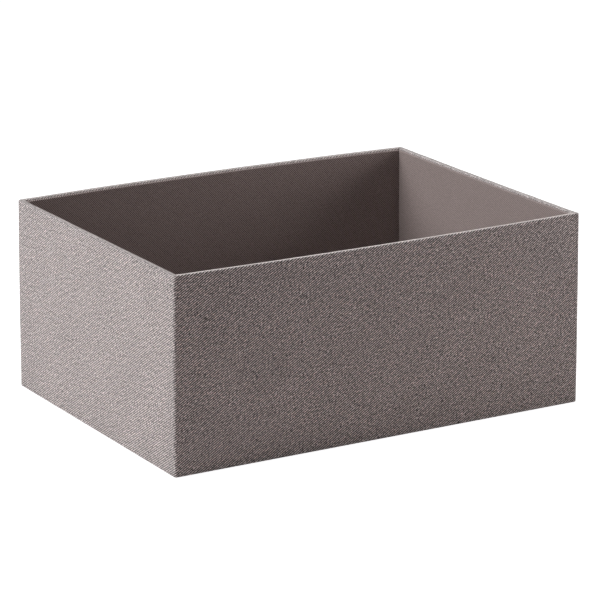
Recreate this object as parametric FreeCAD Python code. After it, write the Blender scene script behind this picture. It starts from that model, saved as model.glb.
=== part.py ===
"""Open storage bin: a box of greyboard walls wrapped in one strip of cloth and lined with covered cards.

Millimetres, +Z up. X runs along the long side, the front wall is at -Y, and the origin is the middle
of the underside, on the surface that the bin stands on.
"""

import FreeCAD
import Part
import math
import os

from FreeCAD import Vector

# Outside of the finished bin, over the cloth
LENGTH = 350.0
DEPTH = 254.0
HEIGHT = 150.0

# Sheet materials, by thickness
BOARD = 3.0
WRAP_CLOTH = 0.5
CARD = 1.0
LINING_CLOTH = 0.4
STAY_TAPE = 0.2
BASE_SHEET = 0.4

# Sanded corners and edges of the board box, under the cloth
BOARD_CORNER_RADIUS = 1.7
BOARD_EDGE_RADIUS = 0.7

# Outer cloth: what is turned in over the rim and under the base, and the joint of its two ends
RIM_TURN = 18.0
BASE_TURN = 20.0
SEAM_FROM_CORNER = 12.0
CLOTH_SLIT = 0.3

# Paper tape over the glued joints
STAY_LEG = 18.0
STAY_BELOW_RIM = 3.0
STAY_GAP = 0.5

# Covered cards inside
LINING_TURN = 12.0
LINING_BELOW_RIM = 1.2
LINING_EDGE_RADIUS = 0.6
FIT_CLEARANCE = 0.2

# Sheet under the base
BASE_SHEET_INSET = 3.0
BASE_SHEET_RADIUS = 2.0

# Heights of the layers, from the surface that the bin stands on
CLOTH_BOTTOM = BASE_SHEET
BOARD_BOTTOM = CLOTH_BOTTOM + WRAP_CLOTH
BOARD_TOP = HEIGHT - WRAP_CLOTH
BASE_BOARD_TOP = BOARD_BOTTOM + BOARD
TURN_BOTTOM = HEIGHT - RIM_TURN
PANEL = CARD + 2 * LINING_CLOTH
PANEL_TOP = HEIGHT - LINING_BELOW_RIM

# Distances in from the outside of the bin
BOARD_OUTSIDE = WRAP_CLOTH
BOARD_INSIDE = BOARD_OUTSIDE + BOARD
TURN_INSIDE = BOARD_INSIDE + WRAP_CLOTH
PANEL_INSIDE = TURN_INSIDE + PANEL

# Outward direction of each wall
SIDES = {
    "front": Vector(0, -1, 0),
    "back": Vector(0, 1, 0),
    "left": Vector(-1, 0, 0),
    "right": Vector(1, 0, 0),
}
UP = Vector(0, 0, 1)
ORIGIN = Vector(0, 0, 0)
SAME_HEIGHT = 1e-4


def prism(inset, low, high, radius=0.0):
    """Upright block with the bin's plan moved in by inset, its four upright edges rounded."""
    length, depth, height = LENGTH - 2 * inset, DEPTH - 2 * inset, high - low
    block = Part.makeBox(length, depth, height, Vector(-length / 2, -depth / 2, low))
    return rounded(block, upright_edges(block), radius)


def upright_edges(shape):
    """Straight edges that run up the full height of a block."""
    return [e for e in shape.Edges if e.BoundBox.ZLength > shape.BoundBox.ZLength - SAME_HEIGHT]


def edges_at(shape, height):
    """Edges that lie flat at one height."""
    flat = [e for e in shape.Edges if e.BoundBox.ZLength < SAME_HEIGHT]
    return [e for e in flat if abs(e.BoundBox.ZMin - height) < SAME_HEIGHT]


def rounded(shape, edges, radius):
    """The shape with these edges rounded. An edge moved in past its radius is sharp."""
    return shape.makeFillet(radius, edges) if radius > 0 else shape


def board_block(inset, low, high):
    """The board box as one block, moved in by inset from its outside, with its bottom edges rounded."""
    block = prism(BOARD_OUTSIDE + inset, low, high, BOARD_CORNER_RADIUS - inset)
    return rounded(block, edges_at(block, low), BOARD_EDGE_RADIUS - inset)


def board_walls():
    """The four board walls in one ring, rounded along the rim on both sides."""
    ring = board_block(0, BOARD_BOTTOM, BOARD_TOP)
    ring = ring.cut(prism(BOARD_INSIDE, CLOTH_BOTTOM, HEIGHT))
    return rounded(ring, edges_at(ring, BOARD_TOP), BOARD_EDGE_RADIUS)


def corner_box(side_x, side_y, reach, low, high):
    """Block at one upright corner of the board box, reaching along both walls."""
    x = side_x * (LENGTH / 2 - BOARD_OUTSIDE)
    y = side_y * (DEPTH / 2 - BOARD_OUTSIDE)
    return Part.makeBox(2 * reach, 2 * reach, high - low, Vector(x - reach, y - reach, low))


def mitre_block(outward, reach):
    """Block along one wall, cut off at both ends by the diagonals from the corners."""
    half = Vector(LENGTH / 2, DEPTH / 2, 0)
    along = outward.cross(UP)
    half_out, half_along = abs(half.dot(outward)), abs(half.dot(along))
    ends = [(0, 1), (0, -1), (reach, -1), (reach, 1)]
    points = [outward * (half_out - inset) + along * (end * (half_along - inset)) for inset, end in ends]
    return Part.Face(Part.makePolygon(points + points[:1])).extrude(UP * HEIGHT)


def corner_stays():
    """Paper tape folded round each upright corner, pressed flush into the board."""
    low = BOARD_BOTTOM + STAY_LEG + STAY_GAP
    high = HEIGHT - STAY_BELOW_RIM
    outside = prism(BOARD_OUTSIDE, low, high, BOARD_CORNER_RADIUS)
    inside = prism(BOARD_OUTSIDE + STAY_TAPE, low, high, BOARD_CORNER_RADIUS - STAY_TAPE)
    tape = outside.cut(inside)
    stays = {}
    for name_y, side_y in (("front", -1), ("back", 1)):
        for name_x, side_x in (("left", -1), ("right", 1)):
            corner = corner_box(side_x, side_y, STAY_LEG, low, high)
            stays[f"corner_stay_{name_y}_{name_x}"] = tape.common(corner)
    return stays


def base_stays():
    """Paper tape folded under each bottom edge, mitred where two meet, pressed flush into the board."""
    high = BOARD_BOTTOM + STAY_LEG
    outside = board_block(0, BOARD_BOTTOM, high)
    inside = board_block(STAY_TAPE, BOARD_BOTTOM + STAY_TAPE, HEIGHT)
    middle = prism(BOARD_OUTSIDE + STAY_LEG, CLOTH_BOTTOM, high)
    tape = outside.cut(inside).cut(middle)
    reach = BOARD_OUTSIDE + 2 * STAY_LEG
    return {f"base_stay_{side}": tape.common(mitre_block(out, reach)) for side, out in SIDES.items()}


def boards(walls, stays):
    """Five glued boards: front and back run the full length, the ends and the base fit between them."""
    half_inside = DEPTH / 2 - BOARD_INSIDE
    between = prism(BOARD_INSIDE, BOARD_BOTTOM, BASE_BOARD_TOP)
    for stay in stays.values():
        walls = walls.cut(stay)
        between = between.cut(stay)
    long_wall = Part.makeBox(LENGTH, BOARD_INSIDE, HEIGHT)
    end_wall = Part.makeBox(BOARD_INSIDE, 2 * half_inside, HEIGHT)
    places = {
        "front_board": (long_wall, Vector(-LENGTH / 2, -DEPTH / 2, 0)),
        "back_board": (long_wall, Vector(-LENGTH / 2, half_inside, 0)),
        "left_board": (end_wall, Vector(-LENGTH / 2, -half_inside, 0)),
        "right_board": (end_wall, Vector(LENGTH / 2 - BOARD_INSIDE, -half_inside, 0)),
    }
    pieces = {name: walls.common(region.translated(place)) for name, (region, place) in places.items()}
    pieces["base_board"] = between
    return pieces


def base_mitres():
    """Diagonal cuts that let the cloth lie flat at the four corners under the base."""
    run = (BASE_TURN - BOARD_INSIDE) * math.sqrt(2) + CLOTH_SLIT
    slits = []
    for side_x in (-1, 1):
        for side_y in (-1, 1):
            slit = Part.makeBox(run, CLOTH_SLIT, WRAP_CLOTH, Vector(0, -CLOTH_SLIT / 2, 0))
            slit.rotate(ORIGIN, UP, math.degrees(math.atan2(-side_y, -side_x)))
            x = side_x * (LENGTH / 2 - BOARD_INSIDE)
            y = side_y * (DEPTH / 2 - BOARD_INSIDE)
            slits.append(slit.translated(Vector(x, y, CLOTH_BOTTOM)))
    return slits


def cloth_joint():
    """Slit where the two ends of the strip meet, on the back wall beside the left corner."""
    corner = Vector(-LENGTH / 2 + SEAM_FROM_CORNER, DEPTH / 2 - SEAM_FROM_CORNER, 0)
    return Part.makeBox(CLOTH_SLIT, 2 * SEAM_FROM_CORNER, HEIGHT + WRAP_CLOTH, corner)


def outer_fabric(walls):
    """One strip of cloth round the four walls, turned in over the rim and under the base."""
    edge_radius = BOARD_EDGE_RADIUS + WRAP_CLOTH
    cloth = prism(0, CLOTH_BOTTOM, HEIGHT, BOARD_CORNER_RADIUS + WRAP_CLOTH)
    cloth = rounded(cloth, edges_at(cloth, CLOTH_BOTTOM), edge_radius)
    cloth = cloth.cut(prism(TURN_INSIDE, BOARD_BOTTOM, HEIGHT))
    cloth = rounded(cloth, edges_at(cloth, HEIGHT), edge_radius)
    cloth = cloth.cut(prism(BASE_TURN, CLOTH_BOTTOM, BOARD_BOTTOM))
    cloth = cloth.cut(walls)
    cloth = cloth.cut(prism(BOARD_INSIDE, BOARD_BOTTOM, TURN_BOTTOM))
    for slit in base_mitres() + [cloth_joint()]:
        cloth = cloth.cut(slit)
    return cloth


def covered_card(length, height):
    """A card and its cloth, lying face up: the cloth is turned over all four edges to the back."""
    corner = Vector(-length / 2, 0, 0)
    card_length, card_height = length - 2 * LINING_CLOTH, height - 2 * LINING_CLOTH
    card_corner = corner + Vector(LINING_CLOTH, LINING_CLOTH, LINING_CLOTH)
    card = Part.makeBox(card_length, card_height, CARD, card_corner)
    window_corner = card_corner + Vector(LINING_TURN, LINING_TURN, -LINING_CLOTH)
    window = Part.makeBox(
        card_length - 2 * LINING_TURN, card_height - 2 * LINING_TURN, LINING_CLOTH, window_corner
    )
    cloth = Part.makeBox(length, height, PANEL, corner)
    cloth = rounded(cloth, edges_at(cloth, PANEL), LINING_EDGE_RADIUS)
    return card, cloth.cut(window).cut(card)


def wall_lining():
    """A covered card for each wall, standing on the base board with its back against the turned-in cloth."""
    half = Vector(LENGTH / 2 - TURN_INSIDE, DEPTH / 2 - TURN_INSIDE, 0)
    height = PANEL_TOP - BASE_BOARD_TOP
    long_run = 2 * (half.x - FIT_CLEARANCE)
    end_run = 2 * (half.y - PANEL - FIT_CLEARANCE)
    pieces = {}
    for side, outward in SIDES.items():
        run = long_run if outward.x == 0 else end_run
        turn = math.degrees(math.atan2(outward.y, outward.x)) - 90
        place = outward * abs(half.dot(outward)) + UP * BASE_BOARD_TOP
        for kind, shape in zip(("card", "fabric"), covered_card(run, height)):
            shape.rotate(ORIGIN, Vector(1, 0, 0), 90)
            shape.rotate(ORIGIN, UP, turn)
            pieces[f"lining_{kind}_{side}"] = shape.translated(place)
    return pieces


def floor_lining():
    """A covered card on the base board, between the wall linings."""
    inset = PANEL_INSIDE + FIT_CLEARANCE
    length, depth = LENGTH - 2 * inset, DEPTH - 2 * inset
    place = Vector(0, -depth / 2, BASE_BOARD_TOP)
    shapes = zip(("card", "fabric"), covered_card(length, depth))
    return {f"floor_{kind}": shape.translated(place) for kind, shape in shapes}


def base_cover():
    """Sheet glued under the base over the turned-in cloth: the bin stands on it."""
    return prism(BASE_SHEET_INSET, 0, BASE_SHEET, BASE_SHEET_RADIUS)


def save(name, shape):
    """Writes one piece, which has to be a single closed solid."""
    if len(shape.Solids) != 1 or not shape.isValid():
        raise ValueError(f"{name}: {len(shape.Solids)} solids, valid {shape.isValid()}")
    shape.Solids[0].exportStep(f"parts/{name}.step")


def main():
    os.makedirs("parts", exist_ok=True)
    walls = board_walls()
    stays = {**corner_stays(), **base_stays()}
    pieces = {**boards(walls, stays), **stays, **wall_lining(), **floor_lining()}
    pieces["outer_fabric"] = outer_fabric(walls)
    pieces["base_cover"] = base_cover()
    for name, shape in pieces.items():
        save(name, shape)


main()
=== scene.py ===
"""Storage bin of covered board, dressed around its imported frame.

Metres. The origin is the middle of the underside, +X runs along the long side, the front wall faces -Y
and +Z is up. The frame's walls are straight. Here the same pieces have settled as glued board and cloth
do: the long walls bow out at the rim, and the cloth is woven, turned over its edges and creased.
"""

import math

import bmesh
import bpy
import numpy as np
from bpy.props import FloatProperty, FloatVectorProperty, PointerProperty
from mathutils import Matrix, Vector


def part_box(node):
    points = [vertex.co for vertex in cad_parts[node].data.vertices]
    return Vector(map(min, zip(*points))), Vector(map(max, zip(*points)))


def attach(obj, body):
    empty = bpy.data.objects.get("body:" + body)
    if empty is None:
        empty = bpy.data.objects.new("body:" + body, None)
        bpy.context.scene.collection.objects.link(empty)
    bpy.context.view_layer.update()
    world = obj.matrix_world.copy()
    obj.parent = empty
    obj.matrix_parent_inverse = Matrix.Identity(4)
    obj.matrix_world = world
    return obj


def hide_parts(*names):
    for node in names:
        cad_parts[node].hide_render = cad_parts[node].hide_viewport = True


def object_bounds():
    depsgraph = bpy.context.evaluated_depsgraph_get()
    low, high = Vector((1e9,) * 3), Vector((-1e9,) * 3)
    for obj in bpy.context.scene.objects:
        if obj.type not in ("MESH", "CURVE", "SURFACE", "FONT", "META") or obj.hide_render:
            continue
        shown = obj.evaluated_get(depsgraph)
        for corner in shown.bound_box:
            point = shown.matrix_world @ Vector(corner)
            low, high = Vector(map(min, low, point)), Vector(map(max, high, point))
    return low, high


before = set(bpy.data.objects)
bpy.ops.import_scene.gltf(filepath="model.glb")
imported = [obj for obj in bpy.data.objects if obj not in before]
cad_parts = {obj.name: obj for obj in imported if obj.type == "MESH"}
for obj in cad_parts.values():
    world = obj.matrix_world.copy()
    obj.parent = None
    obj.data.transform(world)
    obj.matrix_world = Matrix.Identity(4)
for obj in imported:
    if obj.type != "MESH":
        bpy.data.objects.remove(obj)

bl_info = {
    "name": "Covered storage bin",
    "version": (1, 0, 0),
    "blender": (4, 5, 0),
    "location": "3D View > Sidebar > Storage bin",
    "description": "Makes the boards, cloths, cards and tapes of an open covered bin, with its stage",
    "category": "Object",
}

FRAME_BOX = [list(corner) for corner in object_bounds()]
HALF_LENGTH, HALF_DEPTH, HEIGHT = FRAME_BOX[1]
MM = 0.001
BODY = "root"
WEAVE = "weave"
SIDES = ("front", "back", "left", "right")
CORNERS = ("front_left", "front_right", "back_left", "back_right")

# Layers of the frame, from the outside of the bin inwards and from the table up
WRAP_CLOTH = 0.5 * MM
LINING_CLOTH = 0.4 * MM
CARD = 1.0 * MM
PANEL = CARD + 2 * LINING_CLOTH
CLOTH_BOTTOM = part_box("outer_fabric")[0].z
LINING_LOW, LINING_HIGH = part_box("lining_fabric_front")
FLOOR_LOW, FLOOR_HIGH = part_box("floor_fabric")
TURN_INSIDE = HALF_DEPTH + LINING_LOW.y


class Wall:
    """The way out of a wall and the way along it, how far out it stands, and half its length."""

    def __init__(self, out, way, stand, half):
        self.out = Vector(out)
        self.way = Vector(way)
        self.stand = stand
        self.half = half


# Walls in the order that the strip of cloth goes round them
WALLS = {
    "left": Wall((-1, 0, 0), (0, -1, 0), HALF_LENGTH, HALF_DEPTH),
    "front": Wall((0, -1, 0), (1, 0, 0), HALF_DEPTH, HALF_LENGTH),
    "right": Wall((1, 0, 0), (0, 1, 0), HALF_LENGTH, HALF_DEPTH),
    "back": Wall((0, 1, 0), (-1, 0, 0), HALF_DEPTH, HALF_LENGTH),
}

# Slow waves of the covered boards: their lengths, the turn and the phase from one wave to the next, the
# phase that goes with a turn, the turns of the waves along X, Y and Z, the height over which they set in
# above the base, and the share of them that moves the rim up and down
WAVES = (61 * MM, 43 * MM, 97 * MM, 29 * MM)
WAVE_SPREAD, WAVE_PHASE, TURN_PHASE = 1.9, 2.3, 5
WAVE_TURNS = (0.4, 1.1, 2.2)
WAVE_RISE = 15 * MM
WAVE_LIFT = 0.8

# Mesh cells of the boards, walls, joint, turned-in cloth and lining, then the finer ones beside folds, and
# the stretch beside an upright corner with its cells
BOARD_CELL = 9 * MM
WALL_CELL = 3.5 * MM
SEAM_CELL = 3 * MM
TURN_CELL = 4 * MM
LINING_CELL = 5 * MM
FOLD_CELL = 1.2 * MM
LINING_FOLD_CELL = 0.8 * MM
CORNER_FINE, CORNER_CELL = 2.4 * MM, 0.4 * MM

# Steps round a fold of the strip, round an upright corner and round a bend of the lining, and the lines
# of lining cloth behind a card
FOLD_STEPS, CORNER_STEPS, BEND_STEPS = 5, 7, 4
TURNED_LINES = 4

# Points closer than this are one, faces this nearly level are one, and edges turned by more are sharp
WELD = 0.001 * MM
LEVEL = math.radians(0.5)
BOARD_CREASE = math.radians(30)
CLOTH_CREASE = math.radians(50)

# Smallest bend of the strip's plan, and the end of a wall that is squeezed towards its mitre: its length
# at the outside face, and the least that it has further in
LEAST_BEND = 0.25 * MM
MITRE_REACH, MITRE_LEAST = 9.3 * MM, 4 * MM

# Crease at each corner of the rim: how far below the rim it begins, the height over which it grows, how
# far in from the edge it is full, its half width, and the share, place and width of the flap's swell
CREASE_BELOW, CREASE_EASE, CREASE_INSET = 1.5 * MM, 1.0 * MM, 0.8 * MM
CREASE_WIDTH = 0.4 * MM
FLAP_SHARE, FLAP_PLACE, FLAP_WIDTH = 0.45, 1.4 * MM, 1.1 * MM

# Lining round its card: outside bend at the back, inside bend at the card, and where the cloth lies flat
LINING_BACK_BEND = 0.25 * MM
CARD_BEND = 0.05 * MM
TURNED_START = 1.2 * MM

# Two-over-two twill: yarns before it repeats, half the stretch that a yarn lies on top, the height of its
# round section, the rise of both floats, how much lower the level yarns lie, and the upright yarns' share
# where the ribs don't show
TWILL_REPEAT = 4
HALF_FLOAT = 0.7
YARN_CROWN = 0.7
WARP_RISE, WEFT_RISE, WEFT_SINK = 0.5, 0.4, 0.1
MEAN_RIB = 0.35

# Yarns that stray: how often per metre, and how far along and up
OUTER_STRAY, LINING_STRAY = 22.0, 20.0
STRAY_ALONG, STRAY_UP = 0.3 * MM, 0.2 * MM

# Outer cloth, per metre: slubs, specks along and up, loose fibres and clouds of tone. Then how strong the
# flecks are, and for each noise where its effect begins and is full, with the tones at both if it has any
SLUBS = 650
SPECKS_ALONG, SPECKS_UP = 620, 500
FIBRES = 4000
CLOUDS = 24.0
DARK_FLECKS, PALE_FLECKS = 0.85, 0.6
DARK_SPECKS, PALE_SPECKS = (0.27, 0.22), (0.73, 0.79)
SLUB_TONE = (0.25, 0.75, 0.42, 1.58)
CLOUD_TONE = (0.2, 0.8, 0.95, 1.05)

# Painted highlight along the fold over the rim, where the rim catches the light: how far inwards of the
# rim's middle it lies, half the width at full strength and half its whole width. Then the painted highlight
# on the lining's top fold, measured down from its top
HIGHLIGHT_INWARD, HIGHLIGHT_FULL, HIGHLIGHT_END = 0.7 * MM, 0.9 * MM, 2.3 * MM
FOLD_LIGHT_START, FOLD_LIGHT_FULL = 0.8 * MM, 0.3 * MM

# Lining: slubs per yarn, across and up, their tone, and the shade between its yarns
LINING_SLUBS_ACROSS, LINING_SLUBS_UP = 0.12, 2.9
LINING_SLUB_TONE = (0.2, 0.8, 0.92, 1.08)
LINING_SHADE = (0.0, 0.9, 0.6, 1.0)

# Relief of both cloths and the loose fibres' share of it, and the layers of noise that the specks and the
# lining's slubs are cut from
OUTER_RELIEF, LINING_RELIEF, FIBRE_RELIEF = 0.2 * MM, 0.12 * MM, 0.25
SPECK_LAYER, LINING_LAYER = 9.0, 3.0

# Pressed board and paper: dark and light pulp, fibres per metre, depth of the grain and roughness
PULP = {
    "grey_pulp_board": ((0.30, 0.275, 0.24), (0.46, 0.43, 0.385), 900, 0.05 * MM, 0.9),
    "gummed_brown_paper": ((0.36, 0.235, 0.13), (0.56, 0.39, 0.235), 1500, 0.02 * MM, 0.62),
    "dark_base_paper": ((0.10, 0.084, 0.078), (0.13, 0.11, 0.104), 500, 0.01 * MM, 0.85),
    "smooth_grey_card": ((0.38, 0.345, 0.30), (0.52, 0.48, 0.42), 1100, 0.02 * MM, 0.85),
}

# Patches of pulp per metre, what patches and fibres add to the tone and where it goes from dark to light,
# how much smoother and rougher the fibres are, and the flecks: how much closer than fibres, from what
# noise on, how strong and how dark
PULP_PATCHES = 60.0
PATCH_SHARE, FIBRE_SHARE = 0.45, 0.75
PULP_TONE = (0.35, 0.85)
FIBRE_SMOOTHER, FIBRE_ROUGHER = 0.08, 0.05
PULP_FLECKS, FLECK_LEVEL, FLECK_STRENGTH, FLECK_SHADE = 1.7, 0.72, 0.5, 0.45

# Lamps: the way to them from the bin's middle, how far off and how wide they are
LAMPS = {
    "key_lamp": ((-0.86, 0.15, 0.32), 2.0, 0.9),
    "right_lamp": ((0.85, -0.50, 0.30), 1.0, 0.6),
    "top_lamp": ((0.0, 0.0, 1.0), 2.0, 0.5),
}

# Floor: how far it reaches, the colour that lights the bin, and the shade and glow that are looked at
FLOOR_REACH = 6.0
FLOOR_COLOUR = (0.84, 0.77, 0.755)
FLOOR_SHADE = (0.35, 0.35, 0.35)
FLOOR_GLOW = 0.95
WHITE = (1.0, 1.0, 1.0)


def number_property(name, description, value):
    return FloatProperty(name=name, description=description, default=value)


def length_property(name, description, millimetres):
    return FloatProperty(
        name=name, description=description, default=millimetres * MM, unit="LENGTH", precision=5
    )


def angle_property(name, description, degrees):
    return FloatProperty(
        name=name, description=description, default=math.radians(degrees), subtype="ANGLE"
    )


def colour_property(name, description, colour):
    return FloatVectorProperty(
        name=name, description=description, default=colour, subtype="COLOR", min=0, max=1
    )


def power_property(name, description, watts):
    return FloatProperty(name=name, description=description, default=watts, unit="POWER")


class BinShape(bpy.types.PropertyGroup):
    """How the straight pieces of the frame have settled, and how the strip of cloth is turned."""

    front_bow: length_property("Front bow", "How far the front rim stands out in the middle", 4.2)
    back_bow: length_property("Back bow", "How far the back rim stands out in the middle", 5.8)
    right_draw: length_property("Right draw", "How far the right rim is drawn in in the middle", 1.0)
    rim_draw_length: length_property("Rim draw, length", "How far each end leans in at the rim", 1.19)
    rim_draw_depth: length_property("Rim draw, depth", "How far each long wall leans in at the rim", 0.62)
    bow_power: number_property("Bow power", "How late the bow sets in from the base to the rim", 1.6)
    ripple: length_property("Ripple", "Height of the slow waves of the covered boards", 0.10)
    corner_radius: length_property("Corner radius", "Radius of the upright corners over the cloth", 2.2)
    edge_radius: length_property("Edge radius", "Radius of the rim and base edges over the cloth", 1.2)
    rim_turn: length_property("Rim turn", "How far the cloth is turned down inside the rim", 18.0)
    base_turn: length_property("Base turn", "How far the cloth is turned in under the base", 20.0)
    seam_from_corner: length_property("Seam place", "From the back left corner to the joint", 12.0)
    cloth_slit: length_property("Seam slit", "Gap where the two ends of the strip meet", 0.3)
    mitre_depth: length_property("Mitre depth", "Depth of the crease at each corner of the rim", 0.22)
    lining_turn: length_property("Lining turn", "How far the lining is turned behind its card", 12.4)
    lining_radius: length_property("Lining radius", "Radius of the covered card's edges", 0.6)


class ClothFinish(bpy.types.PropertyGroup):
    """Yarns, colours and painted highlights of the outer cloth and the lining."""

    warp_spacing: length_property("Warp spacing", "Outer cloth, from one upright yarn to the next", 0.714)
    weft_spacing: length_property("Weft spacing", "Outer cloth, from one level yarn to the next", 0.45)
    light_yarn: colour_property("Light yarn", "Upright yarns of the outer cloth", (0.86, 0.78, 0.77))
    dark_yarn: colour_property("Dark yarn", "Level yarns of the outer cloth", (0.040, 0.027, 0.025))
    # Pale fleck is also the colour of the painted highlights on the rim and on the lining's top fold
    pale_fleck_and_highlight: colour_property("Pale fleck", "Pale fibres in the outer cloth", (0.96, 0.87, 0.845))
    dark_fleck: colour_property("Dark fleck", "Dark fibres in the outer cloth", (0.03, 0.022, 0.021))
    # Rib colour is full on the long walls and toned down on the short walls: the stronger ribs of the long
    # walls are partly painted shade, standing in for the ribs' relief shading under grazing light
    short_wall_ribs: number_property("Short wall ribs", "How clearly ribs show on the short walls", 0.6)
    # The lining's ribs are toned down on the short walls; the stronger ribs elsewhere are partly painted
    # relief shading
    short_lining_ribs: number_property("Short wall lining", "How clearly the lining's ribs show there", 0.35)
    # Painted highlight: how pale the fold over the front rim is painted where it catches the light, and the
    # other rims' share of it
    rim_highlight: number_property("Rim highlight", "How pale the fold over the front rim is", 0.87)
    other_rim_highlight: number_property("Other rim highlight", "The other rims' wear, as a share of it", 0.5)
    # Painted highlight on the lining's top fold, where it catches the light from above
    fold_highlight: number_property("Fold highlight", "How pale the lining's top fold is", 0.08)
    lining_warp_spacing: length_property("Lining warp", "Lining, from one upright yarn to the next", 0.48)
    lining_weft_spacing: length_property("Lining weft", "Lining, from one level yarn to the next", 0.44)
    lining_light: colour_property("Lining, light", "Upright yarns of the lining", (0.62, 0.50, 0.48))
    lining_dark: colour_property("Lining, dark", "Level yarns of the lining", (0.125, 0.092, 0.084))


class StageSettings(bpy.types.PropertyGroup):
    """Camera and light."""

    azimuth: angle_property("Azimuth", "Camera's turn round the bin", -30.471)
    elevation: angle_property("Elevation", "Camera's angle above the floor", 16.117)
    distance: length_property("Distance", "From the camera to the middle of the bin", 2429.5)
    aim_right: length_property("Aim, right", "How far right of the middle the camera looks", 2.813)
    aim_up: length_property("Aim, up", "How far above the middle the camera looks", 0.694)
    lens: number_property("Lens", "Focal length in millimetres", 189.98)
    key_power: power_property("Key power", "Large soft lamp on the left, a little behind the bin", 41.0)
    key_colour: colour_property("Key colour", "A little cooler than the floor's light", (0.96, 0.985, 0.99))
    right_power: power_property("Right power", "Small near lamp in front on the right", 3.6)
    right_colour: colour_property("Right colour", "A little warmer", (1.0, 0.96, 0.95))
    top_power: power_property("Top power", "Small lamp straight above, which lights the rim", 18.0)
    fill: number_property("Fill", "Strength of the light from all round", 0.043)


def shape():
    return bpy.context.scene.bin_shape


def cloths():
    return bpy.context.scene.cloth_finish


def stage_settings():
    return bpy.context.scene.bin_stage


# Shape of the settled bin


def slow_wave(first, second, turn):
    """Sum of a few long waves over two coordinates, between about -1 and 1, different for each turn."""
    total = np.zeros_like(first)
    for k, wavelength in enumerate(WAVES):
        angle = turn + WAVE_SPREAD * k
        run = first * math.cos(angle) + second * math.sin(angle)
        total += np.sin(run * (2 * math.pi / wavelength) + WAVE_PHASE * k + TURN_PHASE * turn)
    return total / len(WAVES)


def settled(points):
    """Points of the straight frame, moved to where they lie in the settled bin."""
    form = shape()
    x, y, z = points.T
    rise = np.clip(z / HEIGHT, 0, 1) ** form.bow_power
    across, deep = x / HALF_LENGTH, y / HALF_DEPTH
    bow = (form.back_bow * (1 + deep) - form.front_bow * (1 - deep)) / 2 * (1 - across**2)
    draw = form.right_draw * (1 + across) / 2 * (1 - deep**2)
    free = np.clip(z / WAVE_RISE, 0, 1) * form.ripple
    turn_x, turn_y, turn_z = WAVE_TURNS
    moved = np.empty_like(points)
    moved[:, 0] = x - rise * (draw + across * form.rim_draw_length) + free * slow_wave(y, z, turn_x)
    moved[:, 1] = y + rise * (bow - deep * form.rim_draw_depth) + free * slow_wave(x, z, turn_y)
    moved[:, 2] = z + WAVE_LIFT * rise * free * slow_wave(x, y, turn_z)
    return moved


def places(length, cell, fine=0.0, fine_cell=1.0):
    """Places from 0 to length about one cell apart, and closer together within fine of both ends."""
    if fine == 0:
        return np.linspace(0, length, max(2, math.ceil(length / cell) + 1))
    ends = np.linspace(0, fine, max(2, math.ceil(fine / fine_cell) + 1))
    middle = np.linspace(fine, length - fine, max(2, math.ceil((length - 2 * fine) / cell) + 1))
    return np.concatenate([ends, middle[1:-1], length - ends[::-1]])


def quads(first, second, count, closed):
    """Faces between two rows of vertices, given as index arrays."""
    last = count if closed else count - 1
    return [
        (int(first[k]), int(first[(k + 1) % count]), int(second[(k + 1) % count]), int(second[k]))
        for k in range(last)
    ]


def as_object(name, mesh, finish, crease):
    """A mesh in the scene, smooth but for its creases."""
    mesh.shade_smooth()
    mesh.set_sharp_from_angle(angle=crease)
    mesh.materials.append(finish)
    piece = bpy.data.objects.new(name, mesh)
    bpy.context.scene.collection.objects.link(piece)
    return piece


def cloth_piece(name, points, faces, weave, finish):
    """A closed cloth of settled points, with the weave's coordinates."""
    mesh = bpy.data.meshes.new(name)
    mesh.from_pydata(settled(points).tolist(), [], faces)
    loops = np.empty(len(mesh.loops), dtype=np.int32)
    mesh.loops.foreach_get("vertex_index", loops)
    mesh.uv_layers.new(name=WEAVE).data.foreach_set("uv", weave[loops].astype(np.float32).ravel())
    body = bmesh.new()
    body.from_mesh(mesh)
    bmesh.ops.recalc_face_normals(body, faces=body.faces)
    body.to_mesh(mesh)
    body.free()
    return as_object(name, mesh, finish, CLOTH_CREASE)


def placed(piece, node):
    """The piece stands for its frame node and moves with the bin."""
    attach(piece, BODY)
    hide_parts(node)
    return piece


def settled_copy(name, node, finish):
    """A copy of a frame node that stands for it, cut into cells that follow the bowed walls."""
    body = bmesh.new()
    body.from_mesh(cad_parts[node].data)
    bmesh.ops.remove_doubles(body, verts=body.verts, dist=WELD)
    bmesh.ops.dissolve_limit(body, angle_limit=LEVEL, verts=body.verts[:], edges=body.edges[:])
    low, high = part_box(node)
    for axis in range(3):
        normal = Vector([float(axis == k) for k in range(3)])
        for place in places(high[axis] - low[axis], BOARD_CELL)[1:-1]:
            everything = body.verts[:] + body.edges[:] + body.faces[:]
            bmesh.ops.bisect_plane(
                body, geom=everything, dist=WELD / 2, plane_co=low + normal * place, plane_no=normal
            )
    mesh = bpy.data.meshes.new(name)
    body.to_mesh(mesh)
    body.free()
    for stale in ("custom_normal", "sharp_face"):
        if stale in mesh.attributes:
            mesh.attributes.remove(mesh.attributes[stale])
    points = np.empty(len(mesh.vertices) * 3)
    mesh.vertices.foreach_get("co", points)
    mesh.vertices.foreach_set("co", settled(points.reshape(-1, 3)).astype(np.float32).ravel())
    mesh.update()
    return placed(as_object(name, mesh, finish, BOARD_CREASE), node)


# Outer cloth


def arc(centre, radius, start, end):
    """Points of an arc in the plane of inset and height, with the way to the arc's centre."""
    turns = np.radians(np.linspace(start, end, FOLD_STEPS + 1))
    out = np.stack([np.cos(turns), np.sin(turns)], 1)
    return [(centre + radius * o, -o) for o in out]


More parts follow.
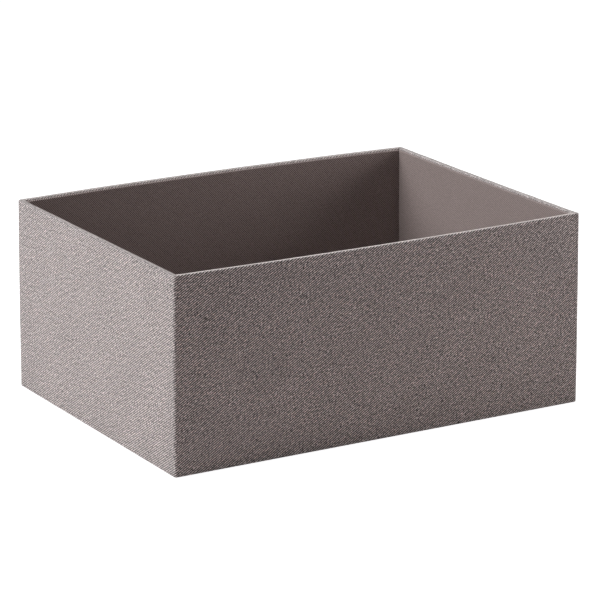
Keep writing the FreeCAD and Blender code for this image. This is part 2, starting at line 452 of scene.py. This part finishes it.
def strip_profile():
    """Path of the cloth's outside face over the rim, down the wall and under the base.

    Each row is (inset, height), the way to the inside face, and the distance along the cloth."""
    form = shape()
    radius = form.edge_radius
    low = CLOTH_BOTTOM + radius
    inner = np.array([TURN_INSIDE - radius, HEIGHT - radius])
    outer = np.array([radius, HEIGHT - radius])
    base = np.array([radius, low])
    rows = []
    inside = places(form.rim_turn - radius, TURN_CELL, FOLD_CELL, FOLD_CELL)
    rows += [(np.array([TURN_INSIDE, HEIGHT - form.rim_turn + s]), np.array([-1.0, 0])) for s in inside]
    rows += arc(inner, radius, 0, 90)[1:]
    rows += arc(outer, radius, 90, 180)
    wall = places(HEIGHT - radius - low, WALL_CELL, FOLD_CELL, FOLD_CELL)
    rows += [(np.array([0.0, HEIGHT - radius - s]), np.array([1.0, 0])) for s in wall[1:]]
    rows += arc(base, radius, 180, 270)[1:]
    under = places(form.base_turn - radius, TURN_CELL, FOLD_CELL, FOLD_CELL)
    rows += [(np.array([radius + s, CLOTH_BOTTOM]), np.array([0, 1.0])) for s in under[1:]]
    steps = [np.linalg.norm(b[0] - a[0]) for a, b in zip(rows, rows[1:])]
    distance = np.concatenate([[0], np.cumsum(steps)])
    return [(place, way, run) for (place, way), run in zip(rows, distance)]


def tight_radius(inset):
    """Corner radius of the strip's plan at an inset, never quite sharp."""
    return max(shape().corner_radius - inset, LEAST_BEND)


def straight_end(half, inset):
    """How far from a wall's middle its straight part reaches at an inset."""
    return half - inset - tight_radius(inset)


def along_wall(place, half, inset):
    """Place along a wall at an inset: only the last stretch is squeezed towards the mitre."""
    full, end = straight_end(half, 0), straight_end(half, inset)
    steady = min(full - MITRE_REACH, end - MITRE_LEAST)
    if abs(place) <= steady:
        return place
    squeezed = steady + (abs(place) - steady) * (end - steady) / (full - steady)
    return math.copysign(squeezed, place)


def strip_columns():
    """Columns of the strip from its joint on the back wall round to the joint again.

    Each is a wall, a place along it and None, or at a corner the wall, the next wall and the turn."""
    form = shape()
    seam = HALF_LENGTH - form.seam_from_corner
    order = ["back", "left", "front", "right", "back"]
    last = len(order) - 1
    columns = []
    for turn, name in enumerate(order):
        end = straight_end(WALLS[name].half, 0)
        if turn == 0:
            spots = seam + places(end - seam, SEAM_CELL, CORNER_FINE, CORNER_CELL)
        elif turn == last:
            spots = -end + places(end + seam - form.cloth_slit, WALL_CELL, CORNER_FINE, CORNER_CELL)
        else:
            spots = -end + places(2 * end, WALL_CELL, CORNER_FINE, CORNER_CELL)
        columns += [(name, spot, None) for spot in spots]
        if turn < last:
            steps = np.radians(np.linspace(0, 90, CORNER_STEPS + 1)[1:-1])
            columns += [(name, order[turn + 1], step) for step in steps]
    return columns


def strip_point(column, inset, middles):
    """Plan position of one column at an inset, and the distance along the strip there."""
    name, spot, step = column
    wall = WALLS[name]
    if step is None:
        s = along_wall(spot, wall.half, inset)
        return wall.out * (wall.stand - inset) + wall.way * s, middles[name] + s
    radius = tight_radius(inset)
    beyond = WALLS[spot]
    centre = wall.out * (wall.stand - inset - radius) + wall.way * straight_end(wall.half, inset)
    start = middles[name] + straight_end(wall.half, inset)
    finish = middles[spot] - straight_end(beyond.half, inset)
    place = centre + (wall.out * math.cos(step) + beyond.out * math.sin(step)) * radius
    return place, start + (finish - start) * step / (math.pi / 2)


def wall_middles():
    """Distance along the strip of each wall's middle, with the back wall's at its start and at its end."""
    bend = math.pi / 2 * shape().corner_radius
    first = {"back": 0.0}
    reach = {name: straight_end(wall.half, 0) for name, wall in WALLS.items()}
    first["left"] = reach["back"] + bend + reach["left"]
    first["front"] = first["left"] + reach["left"] + bend + reach["front"]
    first["right"] = first["front"] + reach["front"] + bend + reach["right"]
    last = first["right"] + reach["right"] + bend + reach["back"]
    return first, {**first, "back": last}


def mitre_crease(place, inset, height):
    """How deep the fold at a corner of the rim presses the cloth in, where the strip lies on top."""
    below = min(1.0, max(0.0, (height - HEIGHT + CREASE_BELOW) / CREASE_EASE))
    top = below * min(1.0, inset / CREASE_INSET)
    apart = (HALF_LENGTH - abs(place.x)) - (HALF_DEPTH - abs(place.y))
    apart *= 1 if place.x * place.y > 0 else -1
    crease = math.exp(-((apart / CREASE_WIDTH) ** 2))
    flap = FLAP_SHARE * math.exp(-(((apart - FLAP_PLACE) / FLAP_WIDTH) ** 2))
    return shape().mitre_depth * top * (crease - flap)


def outer_strip():
    """Vertices, faces and weave coordinates of the strip of outer cloth, and its flat width."""
    rows, columns = strip_profile(), strip_columns()
    first, last = wall_middles()
    points, weave = [], []
    half = len(columns) // 2
    for skin in (0.0, WRAP_CLOTH):
        for place, way, run in rows:
            inset, height = place + skin * way
            for k, column in enumerate(columns):
                middles = first if k < half else last
                spot, distance = strip_point(column, inset, middles)
                if skin == 0:
                    moved = place + mitre_crease(spot, inset, height) * way
                    spot, _ = strip_point(column, moved[0], middles)
                    points.append((spot.x, spot.y, moved[1]))
                else:
                    points.append((spot.x, spot.y, height))
                weave.append((distance, -run))
    count, total = len(columns), len(rows) * len(columns)
    index = np.arange(2 * total).reshape(2, len(rows), count)
    faces = []
    for skin in index:
        for above, below in zip(skin, skin[1:]):
            faces += quads(above, below, count, False)
    faces += quads(index[0, 0], index[1, 0], count, False)
    faces += quads(index[0, -1], index[1, -1], count, False)
    faces += quads(index[0, :, 0], index[1, :, 0], len(rows), False)
    faces += quads(index[0, :, -1], index[1, :, -1], len(rows), False)
    return np.array(points), faces, np.array(weave), rows[-1][2]


# Covered cards


def card_wrap(width, height):
    """Cloth round a card: a face grid, turned over all four edges to a frame on the back.

    Points are (across, up, depth from the face), with the weave's coordinates and the flat size."""
    form = shape()
    radius, bend = form.lining_radius, LINING_BACK_BEND
    turns = np.radians(np.linspace(0, 90, BEND_STEPS + 1))
    outside = [(radius - radius * math.sin(t), radius - radius * math.cos(t)) for t in turns]
    outside += [(bend - bend * math.cos(t), PANEL - bend + bend * math.sin(t)) for t in turns]
    turned_in = np.linspace(TURNED_START, form.lining_turn, TURNED_LINES)
    outside += [(edge, PANEL) for edge in turned_in]
    inside = [(edge, PANEL - LINING_CLOTH) for edge in turned_in[::-1]]
    hold = LINING_CLOTH + CARD_BEND
    inside += [(hold - CARD_BEND * math.sin(t), PANEL - hold + CARD_BEND * math.cos(t)) for t in turns]
    inside += [(hold - CARD_BEND * math.cos(t), hold - CARD_BEND * math.sin(t)) for t in turns]
    across_cells, up_cells = [
        places(side - 2 * radius, LINING_CELL, LINING_FOLD_CELL, LINING_FOLD_CELL) + radius
        for side in (width, height)
    ]
    columns, lines = len(across_cells), len(up_cells)
    rim = [(i, 0) for i in range(columns)] + [(columns - 1, j) for j in range(1, lines)]
    rim += [(i, lines - 1) for i in range(columns - 2, -1, -1)] + [(0, j) for j in range(lines - 2, 0, -1)]

    def squeezed(place, side, edge):
        return edge + (place - radius) * (side - 2 * edge) / (side - 2 * radius)

    points, weave, faces = [], [], []

    def add_face(edge, depth):
        start = len(points)
        for up in up_cells:
            for across in across_cells:
                points.append((squeezed(across, width, edge), squeezed(up, height, edge), depth))
                weave.append((across, up))
        grid = np.arange(start, len(points)).reshape(lines, columns)
        for low, high in zip(grid, grid[1:]):
            faces.extend(quads(low, high, columns, False))
        return np.array([grid[j, i] for i, j in rim])

    previous = add_face(radius, 0.0)
    turned = sum(math.dist(a, b) for a, b in zip(outside, outside[1:])) - radius
    cut = (width + 2 * turned, height + 2 * turned)
    run, last = 0.0, outside[0]
    for edge, depth in outside[1:] + inside[:-1]:
        run += math.dist(last, (edge, depth))
        last = (edge, depth)
        start = len(points)
        for i, j in rim:
            across, up = across_cells[i], up_cells[j]
            points.append((squeezed(across, width, edge), squeezed(up, height, edge), depth))
            side_across = (i == columns - 1) - (i == 0)
            side_up = (j == lines - 1) - (j == 0)
            weave.append((across + side_across * run, up + side_up * run))
        ring = np.arange(start, len(points))
        faces.extend(quads(previous, ring, len(rim), True))
        previous = ring
    final = add_face(*inside[-1])
    faces.extend(quads(previous, final, len(rim), True))
    return np.array(points), faces, np.array(weave), cut


# Materials


class Term:
    """A socket of a node tree. Arithmetic on it adds Math nodes."""

    def __init__(self, nodes, socket):
        self.nodes = nodes
        self.socket = socket

    def math(self, operation, *values):
        return self.nodes.node("ShaderNodeMath", {"operation": operation}, dict(enumerate(values)))

    def __add__(self, other):
        return self.math("ADD", self, other)

    def __sub__(self, other):
        return self.math("SUBTRACT", self, other)

    def __rsub__(self, other):
        return self.math("SUBTRACT", other, self)

    def __mul__(self, other):
        return self.math("MULTIPLY", self, other)

    def __truediv__(self, other):
        return self.math("DIVIDE", self, other)

    def __rtruediv__(self, other):
        return self.math("DIVIDE", other, self)

    def __mod__(self, other):
        return self.math("FLOORED_MODULO", self, other)

    def __rmod__(self, other):
        return self.math("FLOORED_MODULO", other, self)

    def __lt__(self, other):
        return self.math("LESS_THAN", self, other)

    def __gt__(self, other):
        return self.math("GREATER_THAN", self, other)

    def __abs__(self):
        return self.math("ABSOLUTE", self)

    __radd__ = __add__
    __rmul__ = __mul__

    def floor(self):
        return self.math("FLOOR", self)

    def at_most(self, limit):
        return self.math("MINIMUM", self, limit)

    def smooth(self, start, end, low=0.0, high=1.0):
        """Eased from low to high while the value goes from start to end."""
        settings = {"interpolation_type": "SMOOTHSTEP"}
        inputs = {"Value": self, "From Min": start, "From Max": end, "To Min": low, "To Max": high}
        return self.nodes.node("ShaderNodeMapRange", settings, inputs)


class Nodes:
    """The node tree of a material or of the surroundings. One method adds each of its nodes."""

    def __init__(self, tree):
        self.tree = tree
        tree.nodes.clear()

    def node(self, kind, settings, inputs, output=0):
        """Add a node by its type, its settings and its sockets' values or links. Gives one output."""
        node = self.tree.nodes.new(kind)
        for name, value in settings.items():
            setattr(node, name, value)
        for key, value in inputs.items():
            if isinstance(value, Term):
                self.tree.links.new(value.socket, node.inputs[key])
            else:
                node.inputs[key].default_value = value
        if len(node.outputs) > 0:
            return Term(self, node.outputs[output])

    def looked_at(self, *kinds):
        """1 for these kinds of ray, which see white all round, and 0 for the others, which only light."""
        rays = [self.node("ShaderNodeLightPath", {}, {}, f"Is {kind} Ray") for kind in kinds]
        return sum(rays[1:], rays[0]).at_most(1.0)


class Finish(Nodes):
    """A material and the nodes that make it."""

    def __init__(self, name):
        self.material = bpy.data.materials.new(name)
        self.material.use_nodes = True
        super().__init__(self.material.node_tree)

    def place(self):
        """Place on the piece, in metres."""
        return self.node("ShaderNodeTexCoord", {}, {}, "Object")

    def weave(self):
        """Place on the cloth, along and up, in metres."""
        return self.node("ShaderNodeUVMap", {"uv_map": WEAVE}, {})

    def part(self, vector, axis):
        """One coordinate of a vector, by its number."""
        return self.node("ShaderNodeSeparateXYZ", {}, {"Vector": vector}, axis)

    def vector(self, x, y, z=0.0):
        return self.node("ShaderNodeCombineXYZ", {}, {"X": x, "Y": y, "Z": z})

    def noise(self, vector, scale=1.0, detail=1.0, roughness=0.5):
        inputs = {"Vector": vector, "Scale": scale, "Detail": detail, "Roughness": roughness}
        return self.node("ShaderNodeTexNoise", {}, inputs)

    def blend(self, share, first, second):
        """Colour between two, by a share from 0 to 1. Mix's sockets share names, so they go by number."""
        return self.node("ShaderNodeMix", {"data_type": "RGBA"}, {0: share, 6: first, 7: second}, 2)

    def shade(self, colour, value):
        """Colour times a value."""
        return self.node("ShaderNodeVectorMath", {"operation": "SCALE"}, {0: colour, "Scale": value})

    def bump(self, height, distance):
        """Normal of a relief whose height goes from 0 to 1 over a distance."""
        return self.node("ShaderNodeBump", {}, {"Height": height, "Distance": distance})

    def made_of(self, shader):
        """The material, with a shader as its surface."""
        self.node("ShaderNodeOutputMaterial", {}, {"Surface": shader})
        return self.material

    def surface(self, **sockets):
        """The material, with one Principled shader as its surface."""
        inputs = {name.replace("_", " "): value for name, value in sockets.items()}
        return self.made_of(self.node("ShaderNodeBsdfPrincipled", {}, inputs))


def opaque(colour):
    return (*colour, 1.0)


def twill(x, y, warp_spacing, weft_spacing, lean):
    """Two-over-two twill: the yarns' numbers, where the upright yarn is on top, and the height.

    The ribs lean to the right as they rise where lean is 1, and to the left where it is -1."""
    across = x / (lean * warp_spacing)
    along = y / weft_spacing
    column, line = across.floor(), along.floor()
    beside = across - column - 0.5
    between = along - line - 0.5

    # How far it is to the middle of the nearest float, along the upright and along the level yarn
    half = TWILL_REPEAT / 2
    warp_run = ((along - column + half) % TWILL_REPEAT) - half
    weft_run = ((across - line - (half - 1)) % TWILL_REPEAT) - half
    warp_up = abs(warp_run) < HALF_FLOAT

    # Each yarn is round across, full in its middle and nothing at its edges, and rises along its float
    warp_height = (1 - beside * beside * 4) * YARN_CROWN + (1 - warp_run * warp_run) * WARP_RISE
    weft_height = (1 - between * between * 4) * YARN_CROWN + (1 - weft_run * weft_run) * WEFT_RISE
    weft_height = weft_height - WEFT_SINK
    height = weft_height + warp_up * (warp_height - weft_height)
    return across, line, warp_up, height


def outer_cloth_finish():
    """Heathered twill: light upright yarns and dark level yarns, with flecks, and a painted highlight on the
    rim.
    """
    form, look = shape(), cloths()
    finish = Finish("heathered_twill")
    weave = finish.weave()
    x, y = finish.part(weave, 0), finish.part(weave, 1)
    middles = wall_middles()[0]
    reach = straight_end(HALF_DEPTH, 0) + math.pi / 4 * form.corner_radius
    # Ribs in full colour on the long walls, toned down on the short walls: partly the cloth's pattern,
    # partly painted relief shading of the long walls' ribs
    short_wall = (abs(x - middles["left"]) < reach) + (abs(x - middles["right"]) < reach)
    rib_share = short_wall * (look.short_wall_ribs - 1.0) + 1.0
    rim_middle = form.rim_turn - form.edge_radius + math.pi / 2 * form.edge_radius
    rim_middle += TURN_INSIDE / 2 - form.edge_radius
    # Painted highlight on the fold over the rim, where it catches the light: full on the front rim, weaker
    # on the others
    highlight_share = (abs(x - middles["front"]) < HALF_LENGTH) * (1.0 - look.other_rim_highlight) + look.other_rim_highlight
    painted_highlight = abs(y + rim_middle - HIGHLIGHT_INWARD).smooth(HIGHLIGHT_END, HIGHLIGHT_FULL, 0.0, look.rim_highlight)
    painted_highlight = painted_highlight * rib_share * highlight_share
    stray = finish.noise(weave, OUTER_STRAY) - 0.5
    x = x + stray * STRAY_ALONG
    y = y - stray * STRAY_UP
    _, _, warp_up, height = twill(x, y, look.warp_spacing, look.weft_spacing, 1)
    ribs = warp_up * rib_share + (1 - rib_share) * MEAN_RIB
    colour = finish.blend(ribs, opaque(look.dark_yarn), opaque(look.light_yarn))
    slub = finish.noise(finish.vector(x * SLUBS, y * SLUBS))
    colour = finish.shade(colour, slub.smooth(*SLUB_TONE))
    speck = finish.noise(finish.vector(x * SPECKS_ALONG, y * SPECKS_UP, SPECK_LAYER), detail=0.0)
    colour = finish.blend(speck.smooth(*DARK_SPECKS) * DARK_FLECKS, colour, opaque(look.dark_fleck))
    colour = finish.blend(speck.smooth(*PALE_SPECKS) * PALE_FLECKS, colour, opaque(look.pale_fleck_and_highlight))
    # Pale colour painted over the rim's fold: a painted highlight
    colour = finish.blend(painted_highlight, colour, opaque(look.pale_fleck_and_highlight))
    cloud = finish.noise(weave, CLOUDS, detail=3.0)
    colour = finish.shade(colour, cloud.smooth(*CLOUD_TONE))
    fibre = finish.noise(finish.vector(x * FIBRES, y * FIBRES))
    return finish.surface(
        Base_Color=colour, Roughness=0.92, Specular_IOR_Level=0.2, Sheen_Weight=0.15,
        Sheen_Roughness=0.5, Normal=finish.bump(height + fibre * FIBRE_RELIEF, OUTER_RELIEF),
    )


def lining_finish(name, rib_share):
    """Plain fine twill of one brown-grey, nearly smooth, with a painted highlight on its top fold."""
    look = cloths()
    finish = Finish(name)
    weave = finish.weave()
    x, y = finish.part(weave, 0), finish.part(weave, 1)
    x = x + (finish.noise(weave, LINING_STRAY) - 0.5) * STRAY_ALONG
    across, line, warp_up, height = twill(x, y, look.lining_warp_spacing, look.lining_weft_spacing, -1)
    ribs = warp_up * rib_share + (1 - rib_share) * MEAN_RIB
    colour = finish.blend(ribs, opaque(look.lining_dark), opaque(look.lining_light))
    yarns = finish.vector(across * LINING_SLUBS_ACROSS, line * LINING_SLUBS_UP, LINING_LAYER)
    slub = finish.noise(yarns)
    colour = finish.shade(colour, slub.smooth(*LINING_SLUB_TONE))
    colour = finish.shade(colour, height.smooth(*LINING_SHADE))
    rise = finish.part(finish.place(), 2)
    # Painted highlight on the lining's top fold, where it catches the light from above
    fold = rise.smooth(LINING_HIGH.z - FOLD_LIGHT_START, LINING_HIGH.z - FOLD_LIGHT_FULL, 0.0, look.fold_highlight)
    colour = finish.blend(fold, colour, opaque(look.pale_fleck_and_highlight))
    return finish.surface(
        Base_Color=colour, Roughness=0.9, Specular_IOR_Level=0.25, Sheen_Weight=0.1,
        Sheen_Roughness=0.5, Normal=finish.bump(height, LINING_RELIEF),
    )


def pressed_finish(name):
    """Pressed board, card or paper: pulp fibres and slow patches between two colours."""
    low, high, fibres, depth, roughness = PULP[name]
    finish = Finish(name)
    place = finish.place()
    patch = finish.noise(place, PULP_PATCHES, detail=4.0, roughness=0.6)
    fibre = finish.noise(place, fibres, detail=5.0, roughness=0.65)
    share = (patch * PATCH_SHARE + fibre * FIBRE_SHARE).smooth(*PULP_TONE)
    colour = finish.blend(share, opaque(low), opaque(high))
    fleck = finish.noise(place, fibres * PULP_FLECKS) > FLECK_LEVEL
    colour = finish.blend(fleck * FLECK_STRENGTH, colour, opaque([c * FLECK_SHADE for c in low]))
    rough = fibre.smooth(0.2, 0.8, roughness - FIBRE_SMOOTHER, roughness + FIBRE_ROUGHER)
    return finish.surface(
        Base_Color=colour, Roughness=rough, Specular_IOR_Level=0.3, Normal=finish.bump(fibre, depth)
    )


def floor_finish():
    """White where it is looked at from above, plain where it lights the bin, and clear from below."""
    finish = Finish("white_floor")
    shade = finish.node("ShaderNodeBsdfDiffuse", {}, {"Color": opaque(FLOOR_SHADE)})
    glow = finish.node("ShaderNodeEmission", {}, {"Color": opaque(WHITE), "Strength": FLOOR_GLOW})
    bright = finish.node("ShaderNodeAddShader", {}, {0: shade, 1: glow})
    plain = finish.node("ShaderNodeBsdfDiffuse", {}, {"Color": opaque(FLOOR_COLOUR)})
    seen = finish.looked_at("Camera", "Glossy", "Transmission")
    upper = finish.node("ShaderNodeMixShader", {}, {0: seen, 1: plain, 2: bright})
    from_below = finish.node("ShaderNodeNewGeometry", {}, {}, "Backfacing")
    clear = finish.node("ShaderNodeBsdfTransparent", {}, {})
    return finish.made_of(finish.node("ShaderNodeMixShader", {}, {0: from_below, 1: upper, 2: clear}))


# Operators


class BIN_OT_boards(bpy.types.Operator):
    """Make the five greyboards, bowed as they have settled"""

    bl_idname = "storage_bin.boards"
    bl_label = "Greyboards"

    def execute(self, context):
        finish = pressed_finish("grey_pulp_board")
        for side in SIDES:
            settled_copy(f"{side}_wall_board", f"{side}_board", finish)
        settled_copy("bottom_board", "base_board", finish)
        return {"FINISHED"}


class BIN_OT_tapes(bpy.types.Operator):
    """Make the gummed paper tapes over the glued corners and bottom edges"""

    bl_idname = "storage_bin.tapes"
    bl_label = "Paper tapes"

    def execute(self, context):
        finish = pressed_finish("gummed_brown_paper")
        for corner in CORNERS:
            settled_copy(f"{corner}_corner_tape", f"corner_stay_{corner}", finish)
        for side in SIDES:
            settled_copy(f"{side}_bottom_tape", f"base_stay_{side}", finish)
        return {"FINISHED"}


class BIN_OT_outer_cloth(bpy.types.Operator):
    """Wrap one strip of twill cloth round the walls, over the rim and under the base"""

    bl_idname = "storage_bin.outer_cloth"
    bl_label = "Outer cloth"

    def execute(self, context):
        points, faces, weave, width = outer_strip()
        piece = cloth_piece("outer_cloth", points, faces, weave, outer_cloth_finish())
        placed(piece, "outer_fabric")
        float(weave[:, 0].max() - weave[:, 0].min())
        return {"FINISHED"}


class BIN_OT_base_sheet(bpy.types.Operator):
    """Glue the dark sheet under the base"""

    bl_idname = "storage_bin.base_sheet"
    bl_label = "Base sheet"

    def execute(self, context):
        settled_copy("underside_sheet", "base_cover", pressed_finish("dark_base_paper"))
        return {"FINISHED"}


class BIN_OT_lining_cards(bpy.types.Operator):
    """Make the cards behind the lining and on the floor"""

    bl_idname = "storage_bin.lining_cards"
    bl_label = "Lining cards"

    def execute(self, context):
        finish = pressed_finish("smooth_grey_card")
        for side in SIDES:
            settled_copy(f"{side}_lining_stiffener", f"lining_card_{side}", finish)
        settled_copy("floor_stiffener", "floor_card", finish)
        return {"FINISHED"}


class BIN_OT_lining_cloths(bpy.types.Operator):
    """Cover the wall cards and the floor card with lining cloth"""

    bl_idname = "storage_bin.lining_cloths"
    bl_label = "Lining cloths"

    def execute(self, context):
        # Two copies of the lining: full ribs on the long walls and floor, fainter ribs on the short walls;
        # the stronger ribs are partly painted relief shading
        long_finish = lining_finish("fine_lining_twill", 1.0)
        short_finish = lining_finish("faint_lining_twill", cloths().short_lining_ribs)
        for side, wall in WALLS.items():
            node = f"lining_fabric_{side}"
            low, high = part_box(node)
            run = abs((high - low).dot(wall.way))
            local, faces, weave, cut = card_wrap(run, high.z - low.z)
            face = wall.stand - TURN_INSIDE - PANEL
            points = (
                np.outer(face + local[:, 2], wall.out)
                + np.outer(local[:, 0] - run / 2, wall.way)
                + np.outer(low.z + local[:, 1], (0, 0, 1))
            )
            finish = short_finish if side in ("left", "right") else long_finish
            self.cover(f"{side}_lining_cloth", node, points, faces, weave, cut, finish)
        size = FLOOR_HIGH - FLOOR_LOW
        local, faces, weave, cut = card_wrap(size.x, size.y)
        points = local * (1, 1, -1) + np.array([FLOOR_LOW.x, FLOOR_LOW.y, FLOOR_HIGH.z])
        self.cover("floor_cloth", "floor_fabric", points, faces, weave, cut, long_finish)
        return {"FINISHED"}

    def cover(self, name, node, points, faces, weave, cut, finish):
        piece = placed(cloth_piece(name, points, faces, weave, finish), node)


class BIN_OT_stage(bpy.types.Operator):
    """Set the floor, the soft lamps, the white surroundings and the camera"""

    bl_idname = "storage_bin.stage"
    bl_label = "Stage"

    def execute(self, context):
        scene, settings = context.scene, stage_settings()
        self.floor(scene)
        self.lamp(scene, "key_lamp", settings.key_power, settings.key_colour)
        self.lamp(scene, "right_lamp", settings.right_power, settings.right_colour)
        self.lamp(scene, "top_lamp", settings.top_power, WHITE)
        self.surroundings(scene, settings.fill)
        self.camera(scene, settings)
        scene.view_settings.view_transform = "Standard"
        return {"FINISHED"}

    def floor(self, scene):
        mesh = bpy.data.meshes.new("floor")
        corners = [(-1, -1), (1, -1), (1, 1), (-1, 1)]
        mesh.from_pydata([(x * FLOOR_REACH, y * FLOOR_REACH, 0) for x, y in corners], [], [(0, 1, 2, 3)])
        mesh.materials.append(floor_finish())
        floor = bpy.data.objects.new("floor", mesh)
        scene.collection.objects.link(floor)

    def lamp(self, scene, name, power, colour):
        way, distance, size = LAMPS[name]
        light = bpy.data.lights.new(name, "AREA")
        light.shape = "DISK"
        light.size = size
        light.energy = power
        light.color = colour
        lamp = bpy.data.objects.new(name, light)
        towards = Vector(way).normalized()
        lamp.location = Vector((0, 0, HEIGHT / 2)) + towards * distance
        lamp.rotation_mode = "QUATERNION"
        lamp.rotation_quaternion = towards.to_track_quat("Z", "Y")
        scene.collection.objects.link(lamp)

    def surroundings(self, scene, fill):
        world = bpy.data.worlds.new("white_surroundings")
        world.use_nodes = True
        nodes = Nodes(world.node_tree)
        light = nodes.node("ShaderNodeBackground", {}, {"Color": opaque(WHITE), "Strength": fill})
        white = nodes.node("ShaderNodeBackground", {}, {"Color": opaque(WHITE)})
        seen = nodes.looked_at("Camera", "Glossy")
        mix = nodes.node("ShaderNodeMixShader", {}, {0: seen, 1: light, 2: white})
        nodes.node("ShaderNodeOutputWorld", {}, {"Surface": mix})
        scene.world = world

    def camera(self, scene, settings):
        a, e = settings.azimuth, settings.elevation
        back = Vector((math.sin(a) * math.cos(e), -math.cos(a) * math.cos(e), math.sin(e)))
        right = Vector((math.cos(a), math.sin(a), 0))
        up = back.cross(right)
        aim = Vector((0, 0, HEIGHT / 2)) + right * settings.aim_right + up * settings.aim_up
        data = bpy.data.cameras.new("camera")
        data.lens = settings.lens
        data.sensor_width = 36
        camera = bpy.data.objects.new("camera", data)
        camera.location = aim + back * settings.distance
        camera.rotation_mode = "QUATERNION"
        camera.rotation_quaternion = back.to_track_quat("Z", "Y")
        scene.collection.objects.link(camera)
        scene.camera = camera


STEPS = (
    BIN_OT_boards,
    BIN_OT_tapes,
    BIN_OT_outer_cloth,
    BIN_OT_base_sheet,
    BIN_OT_lining_cards,
    BIN_OT_lining_cloths,
    BIN_OT_stage,
)


class BIN_PT_pieces(bpy.types.Panel):
    """Sizes, colours and pieces of the bin"""

    bl_idname = "BIN_PT_pieces"
    bl_label = "Storage bin"
    bl_space_type = "VIEW_3D"
    bl_region_type = "UI"
    bl_category = "Storage bin"

    def draw(self, context):
        for group in (shape(), cloths(), stage_settings()):
            box = self.layout.box()
            for name in group.__annotations__:
                box.prop(group, name)
        for step in STEPS:
            self.layout.operator(step.bl_idname)


GROUPS = {"bin_shape": BinShape, "cloth_finish": ClothFinish, "bin_stage": StageSettings}
CLASSES = (*GROUPS.values(), *STEPS, BIN_PT_pieces)


def register():
    for cls in CLASSES:
        bpy.utils.register_class(cls)
    for name, group in GROUPS.items():
        setattr(bpy.types.Scene, name, PointerProperty(type=group))


def unregister():
    for name in GROUPS:
        delattr(bpy.types.Scene, name)
    for cls in reversed(CLASSES):
        bpy.utils.unregister_class(cls)


def main():
    register()
    for step in STEPS:
        group, name = step.bl_idname.split(".")
        getattr(getattr(bpy.ops, group), name)()


if __name__ == "__main__":
    main()
